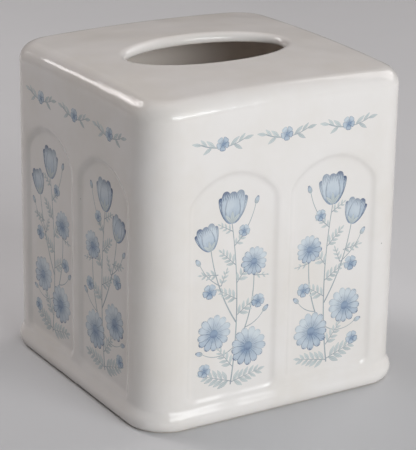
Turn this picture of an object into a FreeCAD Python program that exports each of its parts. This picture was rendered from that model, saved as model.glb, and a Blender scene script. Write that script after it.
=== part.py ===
import FreeCAD, Part
import math
import os
import Sketcher
from FreeCAD import Placement, Rotation, Vector

# A glazed ceramic cover for a cube of paper tissues: a square casting, open below, with a domed
# top, an oval opening, a flared foot and two arch-headed panels sunk into each side. The printed
# sprays and sprigs are thin films of fired enamel that lie on the glaze.
# Frame: origin at the middle of the foot, +Z up, the front side faces -Y.

# Driving dimensions in millimetres: name, value, what it measures
SIZES = (
    ("side_width", 132, "outside of one wall to the outside of the wall opposite"),
    ("crown_height", 148.3, "foot to the height that the dome of the top reaches at its middle"),
    ("corner_radius", 17.5, "upright corners, outside"),
    ("wall_thickness", 5, "walls, away from the panels"),
    ("top_thickness", 5, "top at the middle of its dome"),
    ("top_rise", 2, "rise of the dome from the middle of an edge to the middle of the top"),
    ("top_edge_radius", 8, "rounding between the walls and the top"),
    ("cavity_top_radius", 6, "rounding inside, between the walls and the top"),
    ("foot_flare", 2.5, "how far the foot stands out from the wall"),
    ("foot_height", 10.2, "floor to where the hollow above the foot meets the wall"),
    ("foot_bulge_height", 4.9, "floor to where the foot is widest"),
    ("foot_edge_radius", 5.3, "curve from the widest part of the foot down to the floor"),
    ("mouth_edge_radius", 0.8, "rounding under the foot, inside"),
    ("opening_length", 77.5, "oval opening, left to right"),
    ("opening_width", 43.5, "oval opening, front to back"),
    ("lip_radius", 2.9, "rounding of the opening's upper edge"),
    ("lip_under_radius", 0.9, "rounding of the opening's lower edge"),
    ("column_width", 5.5, "wall left standing between the two panels of a side"),
    ("panel_margin", 1, "wall left standing between a panel and the corner bend or the foot"),
    ("arch_drop", 35.3, "height of the dome's middle above the head of an arch"),
    ("arch_rise", 15.5, "height of an arch from where its uprights end to its head"),
    ("arch_shoulder_radius", 9, "tighter bend at each end of an arch"),
    ("panel_corner_radius", 4.5, "lower corners of a panel"),
    ("relief_depth", 1.2, "how far a panel's floor lies behind the wall"),
    ("relief_slope_width", 1.5, "width of the slope from the wall down to a panel's floor"),
    ("relief_soften_radius", 1.8, "rounding at the top and the bottom of that slope"),
    ("print_thickness", 0.12, "printed enamel"),
    ("print_margin", 1.2, "bare border between a print and the edge of the flat it lies on"),
    ("sprig_gap", 1.6, "bare glaze between two sprigs"),
)

doc = FreeCAD.newDocument("tissue_box_cover")
sheet = doc.addObject("Spreadsheet::Sheet", "Sizes")
for row, (alias, value, meaning) in enumerate(SIZES, start=1):
    sheet.set(f"A{row}", alias)
    sheet.set(f"B{row}", str(value))
    sheet.setAlias(f"B{row}", alias)
    sheet.set(f"C{row}", meaning)
doc.recompute()

# Least curve under the foot, in heights of its widest part, and the most that the two roundings
# of the opening may take of the top's thickness
LEAST_FOOT_EDGE = 1.05
LIP_SHARE = 0.6
LIP_UNDER_SHARE = 0.23

# How near two places have to be to count as one
TOUCH = 0.01

# Sizes that follow from the driving ones
HALF_SIDE = "Sizes.side_width / 2"
CEILING = "Sizes.crown_height - Sizes.top_thickness"
DOME_RADIUS = "((Sizes.side_width / 2) ^ 2 + Sizes.top_rise ^ 2) / (2 * Sizes.top_rise)"
FOOT_EDGE = f"max(Sizes.foot_edge_radius; {LEAST_FOOT_EDGE} * Sizes.foot_bulge_height)"
PANEL_WIDTH = "((Sizes.side_width - Sizes.column_width) / 2 - Sizes.corner_radius - Sizes.panel_margin)"
PANEL_MIDDLE = f"(Sizes.column_width + {PANEL_WIDTH}) / 2"
PANEL_FOOT = "(Sizes.foot_height + Sizes.panel_margin)"
ARCH_HEAD = "(Sizes.crown_height - Sizes.arch_drop)"
ARCH_RADIUS = (
    f"(({PANEL_WIDTH} / 2) ^ 2 - {PANEL_WIDTH} * Sizes.arch_shoulder_radius + Sizes.arch_rise ^ 2)"
    " / (2 * (Sizes.arch_rise - Sizes.arch_shoulder_radius))"
)
PANEL_FLOOR = "(Sizes.side_width / 2 - Sizes.relief_depth)"
RELIEF_BORDER = (
    "(Sizes.relief_slope_width + Sizes.relief_soften_radius"
    " * tan(atan(Sizes.relief_depth / Sizes.relief_slope_width) / 2))"
)
WALL_TOP = "(Sizes.crown_height - Sizes.top_rise - Sizes.top_edge_radius)"

# The sides, with the turn about the upright axis that brings the front round to each
SIDES = {"front": 0, "right": 90, "back": 180, "left": 270}
HANDS = {"left": -1, "right": 1}


def size(expression):
    """The value that an expression on the sheet has now."""
    return float(sheet.evalExpression(expression))


# Sketches


def new_sketch(body, name, plane, outward=None):
    """A sketch on one of the body's own planes, moved outward along that plane's normal."""
    sketch = body.newObject("Sketcher::SketchObject", name)
    support = next(feature for feature in body.Origin.OriginFeatures if feature.Role == plane)
    sketch.AttachmentSupport = (support, "")
    sketch.MapMode = "FlatFace"
    if outward:
        sketch.setExpression("AttachmentOffset.Base.z", outward)
    return sketch


def add_line(sketch, start, end):
    return sketch.addGeometry(Part.LineSegment(Vector(*start), Vector(*end)), False)


def add_arc(sketch, centre, radius, start_angle, end_angle):
    circle = Part.Circle(Vector(*centre), Vector(0, 0, 1), radius)
    return sketch.addGeometry(
        Part.ArcOfCircle(circle, math.radians(start_angle), math.radians(end_angle)), False
    )


def rule(sketch, kind, *elements):
    sketch.addConstraint(Sketcher.Constraint(kind, *elements))


def measure(sketch, kind, elements, expression):
    """A dimension that takes its value from the sheet."""
    number = sketch.addConstraint(Sketcher.Constraint(kind, *elements, size(expression)))
    sketch.setExpression(f"Constraints[{number}]", expression)


def join_smoothly(sketch, loop):
    for element, following in zip(loop, loop[1:] + loop[:1]):
        rule(sketch, "Tangent", element, 2, following, 1)


def draw_rounded_square(sketch, half_width, radius):
    half = size(half_width)
    bend = size(radius)
    flat = half - bend
    right = add_line(sketch, (half, -flat), (half, flat))
    bends = [add_arc(sketch, (flat, flat), bend, 0, 90)]
    back = add_line(sketch, (flat, half), (-flat, half))
    bends.append(add_arc(sketch, (-flat, flat), bend, 90, 180))
    left = add_line(sketch, (-half, flat), (-half, -flat))
    bends.append(add_arc(sketch, (-flat, -flat), bend, 180, 270))
    front = add_line(sketch, (-flat, -half), (flat, -half))
    bends.append(add_arc(sketch, (flat, -flat), bend, 270, 360))
    join_smoothly(sketch, [right, bends[0], back, bends[1], left, bends[2], front, bends[3]])
    for upright in (right, left):
        rule(sketch, "Vertical", upright)
    for level in (back, front):
        rule(sketch, "Horizontal", level)
    for other_bend in bends[1:]:
        rule(sketch, "Equal", bends[0], other_bend)
    measure(sketch, "Radius", (bends[0],), radius)
    measure(sketch, "DistanceX", (-1, 1, right, 1), half_width)
    measure(sketch, "DistanceX", (left, 1, -1, 1), half_width)
    measure(sketch, "DistanceY", (-1, 1, back, 1), half_width)
    measure(sketch, "DistanceY", (front, 1, -1, 1), half_width)


def draw_above_dome(sketch):
    """What is cut off above the dome: its arc, the axis and a box that takes in the corners."""
    crown = size("Sizes.crown_height")
    reach = size("Sizes.side_width")
    radius = size(DOME_RADIUS)
    headroom = size("Sizes.top_edge_radius")
    drop = radius - math.sqrt(radius**2 - reach**2)
    dome = add_arc(sketch, (0, crown - radius), radius, math.degrees(math.acos(reach / radius)), 90)
    axis = add_line(sketch, (0, crown), (0, crown + headroom))
    lid = add_line(sketch, (0, crown + headroom), (reach, crown + headroom))
    side = add_line(sketch, (reach, crown + headroom), (reach, crown - drop))
    rule(sketch, "Coincident", dome, 2, axis, 1)
    rule(sketch, "Coincident", axis, 2, lid, 1)
    rule(sketch, "Coincident", lid, 2, side, 1)
    rule(sketch, "Coincident", side, 2, dome, 1)
    rule(sketch, "Vertical", axis)
    rule(sketch, "Horizontal", lid)
    rule(sketch, "Vertical", side)
    rule(sketch, "PointOnObject", dome, 3, -2)
    rule(sketch, "PointOnObject", axis, 1, -2)
    measure(sketch, "DistanceY", (-1, 1, axis, 1), "Sizes.crown_height")
    measure(sketch, "Radius", (dome,), DOME_RADIUS)
    measure(sketch, "DistanceX", (-1, 1, side, 1), "Sizes.side_width")
    measure(sketch, "DistanceY", (axis, 1, axis, 2), "Sizes.top_edge_radius")


def draw_foot_section(sketch):
    """Section of the foot: flat below, curved out to its widest, then an ogee back to the wall."""
    wall = size(HALF_SIDE)
    root = wall - size("Sizes.wall_thickness")
    face = wall + size("Sizes.foot_flare")
    edge = size(FOOT_EDGE)
    widest = size("Sizes.foot_bulge_height")
    top = size("Sizes.foot_height")
    undercut = math.asin(widest / edge)
    ogee = ((face - wall) ** 2 + (top - widest) ** 2) / (4 * (face - wall))
    turn = math.degrees(math.asin((top - widest) / (2 * ogee)))
    floor_end = face - edge + edge * math.cos(undercut)
    floor = add_line(sketch, (root, 0), (floor_end, 0))
    rounding = add_arc(sketch, (face - edge, widest), edge, -math.degrees(undercut), 0)
    swell = add_arc(sketch, (face - ogee, widest), ogee, 0, turn)
    hollow = add_arc(sketch, (wall + ogee, top), ogee, 180, 180 + turn)
    cap = add_line(sketch, (wall, top), (root, top))
    inside = add_line(sketch, (root, top), (root, 0))
    rule(sketch, "Coincident", floor, 2, rounding, 1)
    rule(sketch, "Tangent", rounding, 2, swell, 1)
    rule(sketch, "Tangent", swell, 2, hollow, 2)
    rule(sketch, "Coincident", hollow, 1, cap, 1)
    rule(sketch, "Coincident", cap, 2, inside, 1)
    rule(sketch, "Coincident", inside, 2, floor, 1)
    rule(sketch, "Horizontal", floor)
    rule(sketch, "Horizontal", cap)
    rule(sketch, "Vertical", inside)
    rule(sketch, "Equal", swell, hollow)
    rule(sketch, "Horizontal", swell, 3, swell, 1)
    rule(sketch, "Horizontal", hollow, 3, cap, 1)
    rule(sketch, "PointOnObject", floor, 1, -1)
    measure(sketch, "Radius", (rounding,), FOOT_EDGE)
    measure(sketch, "DistanceX", (-1, 1, swell, 1), f"{HALF_SIDE} + Sizes.foot_flare")
    measure(sketch, "DistanceY", (-1, 1, swell, 1), "Sizes.foot_bulge_height")
    measure(sketch, "DistanceX", (-1, 1, cap, 1), HALF_SIDE)
    measure(sketch, "DistanceY", (-1, 1, cap, 1), "Sizes.foot_height")
    measure(sketch, "DistanceX", (cap, 2, cap, 1), "Sizes.wall_thickness")


def draw_oval(sketch, length, width):
    half_length = size(length) / 2
    half_width = size(width) / 2
    oval = Part.Ellipse(Vector(half_length, 0), Vector(0, half_width), Vector(0, 0))
    ring = sketch.addGeometry(oval, False)
    sketch.exposeInternalGeometry(ring)
    long_axis, short_axis = ring + 1, ring + 2
    rule(sketch, "Coincident", ring, 3, -1, 1)
    rule(sketch, "Horizontal", long_axis)
    measure(sketch, "Distance", (long_axis,), length)
    measure(sketch, "Distance", (short_axis,), width)


def draw_arch(sketch, hand):
    """One panel: a flat sill, two uprights and a three-centred arch. Hand is -1 left, 1 right."""
    middle = hand * size(PANEL_MIDDLE)
    half = size(PANEL_WIDTH) / 2
    left, right = middle - half, middle + half
    foot = size(PANEL_FOOT)
    head = size(ARCH_HEAD)
    spring = head - size("Sizes.arch_rise")
    corner = size("Sizes.panel_corner_radius")
    shoulder = size("Sizes.arch_shoulder_radius")
    radius = size(ARCH_RADIUS)
    meet = math.degrees(math.acos((half - shoulder) / (radius - shoulder)))
    sill = add_line(sketch, (left + corner, foot), (right - corner, foot))
    right_corner = add_arc(sketch, (right - corner, foot + corner), corner, 270, 360)
    right_upright = add_line(sketch, (right, foot + corner), (right, spring))
    right_shoulder = add_arc(sketch, (right - shoulder, spring), shoulder, 0, meet)
    crown = add_arc(sketch, (middle, head - radius), radius, meet, 180 - meet)
    left_shoulder = add_arc(sketch, (left + shoulder, spring), shoulder, 180 - meet, 180)
    left_upright = add_line(sketch, (left, spring), (left, foot + corner))
    left_corner = add_arc(sketch, (left + corner, foot + corner), corner, 180, 270)
    right_half = [sill, right_corner, right_upright, right_shoulder]
    left_half = [crown, left_shoulder, left_upright, left_corner]
    join_smoothly(sketch, right_half + left_half)
    rule(sketch, "Horizontal", sill)
    rule(sketch, "Vertical", right_upright)
    rule(sketch, "Vertical", left_upright)
    rule(sketch, "Horizontal", right_upright, 2, left_upright, 1)
    rule(sketch, "Equal", right_corner, left_corner)
    rule(sketch, "Equal", right_shoulder, left_shoulder)
    measure(sketch, "Radius", (right_corner,), "Sizes.panel_corner_radius")
    measure(sketch, "Radius", (right_shoulder,), "Sizes.arch_shoulder_radius")
    measure(sketch, "Radius", (crown,), ARCH_RADIUS)
    measure(sketch, "DistanceX", (left_upright, 1, right_upright, 1), PANEL_WIDTH)
    if hand > 0:
        measure(sketch, "DistanceX", (-1, 1, left_upright, 1), "Sizes.column_width / 2")
    else:
        measure(sketch, "DistanceX", (right_upright, 1, -1, 1), "Sizes.column_width / 2")
    measure(sketch, "DistanceY", (-1, 1, sill, 1), PANEL_FOOT)
    measure(sketch, "DistanceY", (-1, 1, right_upright, 2), f"{ARCH_HEAD} - Sizes.arch_rise")


# Picking edges by their place


def middle_of(edge):
    return edge.valueAt((edge.FirstParameter + edge.LastParameter) / 2)


def behind_wall(point):
    """How far a point lies inside the outer face of the walls, seen from above."""
    flat = size(HALF_SIDE) - size("Sizes.corner_radius")
    beyond = (abs(point.x) - flat, abs(point.y) - flat)
    past_bend = math.hypot(max(beyond[0], 0), max(beyond[1], 0))
    return size("Sizes.corner_radius") - past_bend - min(max(beyond), 0)


def on_top_edge(edge):
    point = middle_of(edge)
    return abs(behind_wall(point)) < TOUCH and point.z > size(WALL_TOP)


def on_cavity_rim(edge, height):
    point = middle_of(edge)
    inset = behind_wall(point) - size("Sizes.wall_thickness")
    return abs(inset) < TOUCH and abs(point.z - height) < TOUCH


def on_oval(edge):
    point = middle_of(edge)
    across = 2 * point.x / size("Sizes.opening_length")
    along = 2 * point.y / size("Sizes.opening_width")
    return edge.isClosed() and abs(math.hypot(across, along) - 1) < TOUCH


def on_panel(edge, depth):
    """Edges of the panels that lie this far behind the wall, on its flat stretch."""
    point = middle_of(edge)
    flat = size(HALF_SIDE) - size("Sizes.corner_radius") - TOUCH
    beside_bend = min(abs(point.x), abs(point.y)) < flat
    in_height = size(PANEL_FOOT) - TOUCH < point.z < size(ARCH_HEAD) + TOUCH
    return beside_bend and in_height and abs(behind_wall(point) - depth) < TOUCH


def soften(body, name, radius, wanted):
    """Rounds the wanted edges of the body as it stands."""
    base = body.Tip
    names = [f"Edge{n}" for n, edge in enumerate(base.Shape.Edges, start=1) if wanted(edge)]
    if not names:
        raise RuntimeError(f"{name} found no edges")
    fillet = body.newObject("PartDesign::Fillet", name)
    fillet.Base = (base, names)
    fillet.setExpression("Radius", radius)
    doc.recompute()
    return fillet


# The casting


def make_cover_shell():
    body = doc.addObject("PartDesign::Body", "cover_shell")
    body.Label = "cover_shell"
    add_walls(body)
    add_foot(body)
    cut_cavity(body)
    cut_opening(body)
    sink_panels(body)
    return body


def add_walls(body):
    plan = new_sketch(body, "wall_plan", "XY_Plane")
    draw_rounded_square(plan, HALF_SIDE, "Sizes.corner_radius")
    walls = body.newObject("PartDesign::Pad", "walls")
    walls.Profile = plan
    walls.setExpression("Length", "Sizes.crown_height")
    above = new_sketch(body, "above_dome", "XZ_Plane")
    draw_above_dome(above)
    dome = body.newObject("PartDesign::Groove", "dome")
    dome.Profile = above
    dome.ReferenceAxis = (above, ["V_Axis"])
    dome.Angle = 360
    doc.recompute()
    soften(body, "top_edge", "Sizes.top_edge_radius", on_top_edge)


def add_foot(body):
    path = new_sketch(body, "foot_path", "XY_Plane")
    draw_rounded_square(path, HALF_SIDE, "Sizes.corner_radius")
    section = new_sketch(body, "foot_section", "XZ_Plane")
    draw_foot_section(section)
    doc.recompute()
    foot = body.newObject("PartDesign::AdditivePipe", "foot")
    foot.Profile = section
    foot.Spine = (path, [f"Edge{n}" for n in range(1, len(path.Shape.Edges) + 1)])
    doc.recompute()


def cut_cavity(body):
    plan = new_sketch(body, "cavity_plan", "XY_Plane")
    draw_rounded_square(
        plan, f"{HALF_SIDE} - Sizes.wall_thickness", "Sizes.corner_radius - Sizes.wall_thickness"
    )
    cavity = body.newObject("PartDesign::Pocket", "cavity")
    cavity.Profile = plan
    cavity.Reversed = True
    cavity.setExpression("Length", CEILING)
    doc.recompute()
    soften(body, "cavity_top", "Sizes.cavity_top_radius", lambda edge: on_cavity_rim(edge, size(CEILING)))
    soften(body, "mouth_edge", "Sizes.mouth_edge_radius", lambda edge: on_cavity_rim(edge, 0))


def cut_opening(body):
    plan = new_sketch(body, "opening_plan", "XY_Plane")
    draw_oval(plan, "Sizes.opening_length", "Sizes.opening_width")
    opening = body.newObject("PartDesign::Pocket", "opening")
    opening.Profile = plan
    opening.Reversed = True
    opening.Type = "ThroughAll"
    doc.recompute()
    above_ceiling = size(CEILING) + TOUCH
    soften(
        body,
        "lip",
        f"min(Sizes.lip_radius; {LIP_SHARE} * Sizes.top_thickness)",
        lambda edge: on_oval(edge) and middle_of(edge).z > above_ceiling,
    )
    soften(
        body,
        "lip_under",
        f"min(Sizes.lip_under_radius; {LIP_UNDER_SHARE} * Sizes.top_thickness)",
        lambda edge: on_oval(edge) and middle_of(edge).z < above_ceiling,
    )


def sink_panels(body):
    arches = new_sketch(body, "panel_arches", "XZ_Plane", HALF_SIDE)
    for hand in (-1, 1):
        draw_arch(arches, hand)
    recess = body.newObject("PartDesign::Pocket", "panel_recess")
    recess.Profile = arches
    recess.setExpression("Length", "Sizes.relief_depth")
    recess.setExpression("TaperAngle", "-atan(Sizes.relief_slope_width / Sizes.relief_depth)")
    all_sides = body.newObject("PartDesign::PolarPattern", "panels_on_all_sides")
    all_sides.Originals = [recess]
    all_sides.Axis = (body.getObject("wall_plan"), ["N_Axis"])
    all_sides.Angle = 360
    all_sides.Occurrences = len(SIDES)
    body.Tip = all_sides
    doc.recompute()
    depth = size("Sizes.relief_depth")
    soften(body, "panel_floor_edge", "Sizes.relief_soften_radius", lambda edge: on_panel(edge, depth))
    soften(body, "panel_rim_edge", "Sizes.relief_soften_radius", lambda edge: on_panel(edge, 0))


# The prints. Each drawing lies flat with its own origin, x to the right and y up.


def lens(base_x, base_y, length, heading, fullness):
    """A leaf: two arcs from its base to its tip."""
    along = Vector(math.cos(math.radians(heading)), math.sin(math.radians(heading)))
    across = Vector(-along.y, along.x)
    base = Vector(base_x, base_y)
    tip = base + along * length
    middle = base + along * (length / 2)
    belly = across * (length * fullness / 2)
    edges = [
        Part.Arc(base, middle - belly, tip).toShape(),
        Part.Arc(tip, middle + belly, base).toShape(),
    ]
    return Part.Face(Part.Wire(edges))


def rosette(x, y, radius, petals, notch):
    """An open flower seen from the front: one arc for each petal's end, meeting in notches."""
    step = 360 / petals

    def spoke(angle, reach):
        turn = math.radians(angle)
        return Vector(x + reach * math.cos(turn), y + reach * math.sin(turn))

    edges = []
    for petal in range(petals):
        start, end = petal * step + 90, (petal + 1) * step + 90
        notch_reach = radius * notch
        arc = Part.Arc(
            spoke(start, notch_reach), spoke((start + end) / 2, radius), spoke(end, notch_reach)
        )
        edges.append(arc.toShape())
    return Part.Face(Part.Wire(edges))


# Outline of a bell flower in shares of its length, from its base up its right side: half its waist,
# half its mouth, and the wave along the mouth
BELL_BASE = (0, 0)
BELL_WAIST = (0.36, 0.25)
BELL_MOUTH = (0.42, 1)
BELL_SIDE_DIP = (0.26, 0.86)
BELL_TIP = (0.13, 0.98)
BELL_MIDDLE_DIP = (0, 0.84)


def bell(x, y, length, heading):
    """A cup-shaped flower seen from the side: a round base, two full sides and a wavy mouth."""

    def left(point):
        return (-point[0], point[1])

    outline = [
        (BELL_BASE, BELL_WAIST, BELL_MOUTH),
        (BELL_MOUTH, BELL_SIDE_DIP, BELL_TIP),
        (BELL_TIP, BELL_MIDDLE_DIP, left(BELL_TIP)),
        (left(BELL_TIP), left(BELL_SIDE_DIP), left(BELL_MOUTH)),
        (left(BELL_MOUTH), left(BELL_WAIST), BELL_BASE),
    ]
    edges = [Part.Arc(*(Vector(*point) * length for point in stretch)).toShape() for stretch in outline]
    face = Part.Face(Part.Wire(edges))
    face.Placement = Placement(Vector(x, y), Rotation(Vector(0, 0, 1), heading - 90))
    return face


def stem(start, through, end, width):
    """A stalk of even width along the arc through three points."""
    path = [Vector(*point) for point in (start, through, end)]
    circle = Part.Arc(*path).toShape().Curve
    turns_left = (path[1] - path[0]).cross(path[2] - path[1]).z > 0
    outward = width / 2 if turns_left else -width / 2

    def beside(reach):
        return [circle.Center + (point - circle.Center) * (1 + reach / circle.Radius) for point in path]

    right_side = beside(outward)
    left_side = beside(-outward)[::-1]
    edges = [
        Part.Arc(*right_side).toShape(),
        Part.makeLine(right_side[-1], left_side[0]),
        Part.Arc(*left_side).toShape(),
        Part.makeLine(left_side[-1], right_side[0]),
    ]
    return Part.Face(Part.Wire(edges))


def merge(faces):
    """The flat film that overlapping faces cover together."""
    fragments = faces[0].multiFuse(faces[1:]).Faces
    return Part.makeShell(fragments).removeSplitter()


STALK_WIDTH = 0.9
SPRAY_STALKS = (
    ((0, 0), (-2.4, 33), (0.6, 70)),
    ((-1.6, 14), (-8.4, 30), (-10, 51)),
    ((-2.2, 27), (5, 41), (10.2, 60)),
)
SPRAY_DAISIES = ((-8.2, 15.5, 8.6), (8.3, 24, 8.2), (-10.2, 52, 6.4))
SPRAY_FLORETS = ((10.5, 42.5, 3.3), (-12.6, 34.5, 3.2), (-5.2, 66, 2.7), (12.6, 8.5, 3.1))
SPRAY_BELLS = ((0.6, 70, 14, 92), (10.2, 60, 11.5, 74))
SPRAY_LEAVES = (
    (0, 1, 16.5, 168, 0.27),
    (0, 1.5, 16.8, 20, 0.27),
    (-0.6, 8, 12.5, 52, 0.25),
    (-2.2, 30, 13, 147, 0.27),
    (-2.4, 37, 11.5, 32, 0.27),
    (-2.1, 44, 12.5, 128, 0.25),
    (-1.4, 52, 11, 44, 0.26),
    (-0.6, 60, 9.5, 138, 0.26),
    (0.2, 66.5, 8, 30, 0.28),
    (6.6, 49, 9.5, 8, 0.28),
    (5.2, 44, 8, 112, 0.28),
    (-10, 46, 7.5, 188, 0.28),
)
DAISY_PETALS, DAISY_NOTCH = 13, 0.8
FLORET_PETALS, FLORET_NOTCH = 5, 0.58


def draw_spray():
    """An upright plant with open daisies low down and bell flowers at its head."""
    faces = [stem(*points, STALK_WIDTH) for points in SPRAY_STALKS]
    faces += [lens(*leaf) for leaf in SPRAY_LEAVES]
    faces += [bell(*flower) for flower in SPRAY_BELLS]
    faces += [rosette(*flower, DAISY_PETALS, DAISY_NOTCH) for flower in SPRAY_DAISIES]
    faces += [rosette(*flower, FLORET_PETALS, FLORET_NOTCH) for flower in SPRAY_FLORETS]
    return merge(faces)


SPRIG_STALK = ((-12, 1.2), (0, -1.6), (12, 1.2))
SPRIG_FLORET = (0, 0, 3.6)
SPRIG_LEAVES = (
    (4.2, -1.1, 6, 38, 0.32),
    (5.8, -0.8, 5.6, -32, 0.32),
    (8.6, 0, 5, 46, 0.32),
    (11.4, 0.9, 5.4, 12, 0.32),
)


def draw_sprig():
    """A level twig with a small open flower in its middle and leaves towards both ends."""
    faces = [stem(*SPRIG_STALK, STALK_WIDTH), rosette(*SPRIG_FLORET, FLORET_PETALS, FLORET_NOTCH)]
    for x, y, length, heading, fullness in SPRIG_LEAVES:
        faces.append(lens(x, y, length, heading, fullness))
        faces.append(lens(-x, y, length, 180 - heading, fullness))
    return merge(faces)


def fitted(drawing, width, height, hand):
    """The drawing as large as its place allows, with the origin at the middle of its lower edge.

    It is turned over for the left hand.
    """
    box = drawing.BoundBox
    shape = drawing.copy()
    shape.translate(Vector(-box.Center.x, -box.YMin))
    if hand < 0:
        shape = shape.mirror(Vector(0, 0, 0), Vector(1, 0, 0))
    return shape.scaled(min(width / box.XLength, height / box.YLength), Vector(0, 0, 0))


def add_drawing(name, shape):
    drawing = doc.addObject("Part::Feature", name)
    drawing.Shape = shape
    return drawing


def lay_print(name, drawing, turn, across, outward, height):
    """A film on a side: across is measured to the right as one faces it, outward from the axis."""
    film = doc.addObject("Part::Extrusion", name)
    film.Label = name
    film.Base = drawing
    film.DirMode = "Custom"
    film.Dir = Vector(0, 0, 1)
    film.Solid = True
    film.setExpression("LengthFwd", "Sizes.print_thickness")
    stand_up = Rotation(Vector(1, 0, 0), 90)
    film.Placement = Placement(Vector(0, 0, 0), Rotation(Vector(0, 0, 1), turn) * stand_up)
    cosine = round(math.cos(math.radians(turn)))
    sine = round(math.sin(math.radians(turn)))
    film.setExpression("Placement.Base.x", f"{cosine} * ({across}) + {sine} * ({outward})")
    film.setExpression("Placement.Base.y", f"{sine} * ({across}) - {cosine} * ({outward})")
    film.setExpression("Placement.Base.z", height)
    return film


def make_sprays():
    floor_width = size(f"{PANEL_WIDTH} - 2 * {RELIEF_BORDER} - 2 * Sizes.print_margin")
    floor_height = size(f"{ARCH_HEAD} - {PANEL_FOOT} - 2 * {RELIEF_BORDER} - 2 * Sizes.print_margin")
    foot = f"{PANEL_FOOT} + {RELIEF_BORDER} + Sizes.print_margin"
    spray = draw_spray()
    films = []
    for hand_name, hand in HANDS.items():
        drawing = add_drawing(f"spray_drawing_{hand_name}", fitted(spray, floor_width, floor_height, hand))
        for side, turn in SIDES.items():
            across = f"{hand} * {PANEL_MIDDLE}"
            films.append(lay_print(f"{side}_spray_{hand_name}", drawing, turn, across, PANEL_FLOOR, foot))
    return films


def make_sprigs():
    places = {"left": -1, "middle": 0, "right": 1}
    band_foot = f"({ARCH_HEAD} + {RELIEF_BORDER} - Sizes.relief_slope_width + Sizes.print_margin)"
    band_top = f"({WALL_TOP} - Sizes.print_margin)"
    pitch = f"((Sizes.side_width - 2 * Sizes.corner_radius - 2 * Sizes.print_margin) / {len(places)})"
    width = size(f"{pitch} - Sizes.sprig_gap")
    sprig = fitted(draw_sprig(), width, size(f"{band_top} - {band_foot}"), 1)
    drawing = add_drawing("sprig_drawing", sprig)
    foot = f"({band_foot} + {band_top}) / 2 - {sprig.BoundBox.YLength / 2}"
    films = []
    for side, turn in SIDES.items():
        for place, step in places.items():
            name = f"{side}_sprig_{place}"
            films.append(lay_print(name, drawing, turn, f"{step} * {pitch}", HALF_SIDE, foot))
    return films


# Build, test, write


def failed(item):
    return "Invalid" in item.State or "Error" in item.State


pieces = [make_cover_shell()] + make_sprays() + make_sprigs()
doc.recompute()
for item in doc.Objects:
    if failed(item):
        raise RuntimeError(f"{item.Label} could not be made")
for piece in pieces:
    if piece.Shape.isNull() or not piece.Shape.isValid():
        raise RuntimeError(f"{piece.Label} is not a sound solid")

os.makedirs("parts", exist_ok=True)
for piece in pieces:
    piece.Shape.exportStep(f"parts/{piece.Label}.step")
    print(piece.Label, len(piece.Shape.Solids), "solids", round(piece.Shape.Volume, 1), "mm3")
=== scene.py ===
# Looks of a glazed ceramic tissue box cover, in metres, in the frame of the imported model.
import math
import random

import bpy
from mathutils import Matrix, Vector


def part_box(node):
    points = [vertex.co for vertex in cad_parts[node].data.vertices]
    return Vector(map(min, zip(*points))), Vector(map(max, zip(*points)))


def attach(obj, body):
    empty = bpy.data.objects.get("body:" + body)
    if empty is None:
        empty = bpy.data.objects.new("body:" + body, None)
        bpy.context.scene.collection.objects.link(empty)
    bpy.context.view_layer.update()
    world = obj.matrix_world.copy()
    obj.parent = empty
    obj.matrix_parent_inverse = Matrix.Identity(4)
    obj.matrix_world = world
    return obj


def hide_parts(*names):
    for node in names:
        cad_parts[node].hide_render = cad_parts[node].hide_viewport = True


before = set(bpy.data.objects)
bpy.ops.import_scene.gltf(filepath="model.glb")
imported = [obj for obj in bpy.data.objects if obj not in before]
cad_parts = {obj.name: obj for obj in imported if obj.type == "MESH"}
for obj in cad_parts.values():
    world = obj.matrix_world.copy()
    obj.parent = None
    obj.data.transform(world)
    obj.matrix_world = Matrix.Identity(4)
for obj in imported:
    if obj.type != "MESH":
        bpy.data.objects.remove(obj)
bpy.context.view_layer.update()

MM = 0.001

# Camera, from the outline of the cover in the photograph: angles in degrees, lengths in metres
CAMERA_AZIMUTH = -31.512
CAMERA_ELEVATION = 19.694
CAMERA_ROLL = 0.887
CAMERA_DISTANCE = 0.9238
CAMERA_AIM_RIGHT = 0.0029
CAMERA_AIM_UP = 0.0608
FOCAL_PIXELS = 1978.3
PHOTO_LONG_SIDE_PIXELS = 450
SENSOR_MM = 36
CLIP_START = 0.02
CLIP_END = 50

# Net of faces over the casting, how far the glaze rounds its edges, and the net's size once thinned
SHELL_NET = 0.8 * MM
SHELL_SMOOTHING = 4
SHELL_TRIANGLES = 185000
SMOOTHING_STEP = 0.5
MERGE_DISTANCE = 0.001 * MM

# Heights between which the glaze softens the foot, the fade at both ends, and how often it is smoothed
FOOT_SOFT_FROM = 1.2 * MM
FOOT_SOFT_TO = 9.6 * MM
FOOT_SOFT_FADE = 1.5 * MM
FOOT_SMOOTHING = 64

# Walls of the casting, seen from above, and the height of its ceiling
HALF_SIDE = 66 * MM
CORNER_RADIUS = 17.5 * MM
CEILING_HEIGHT = 143.3 * MM

# Turn about the upright axis that brings the front round to each side, and the places of prints on a side.
# The spray on the left is turned over.
SIDES = {"front": 0, "right": 90, "back": 180, "left": 270}
HANDS = {"left": -1, "right": 1}
SPRIG_PLACES = ("left", "middle", "right")

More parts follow.
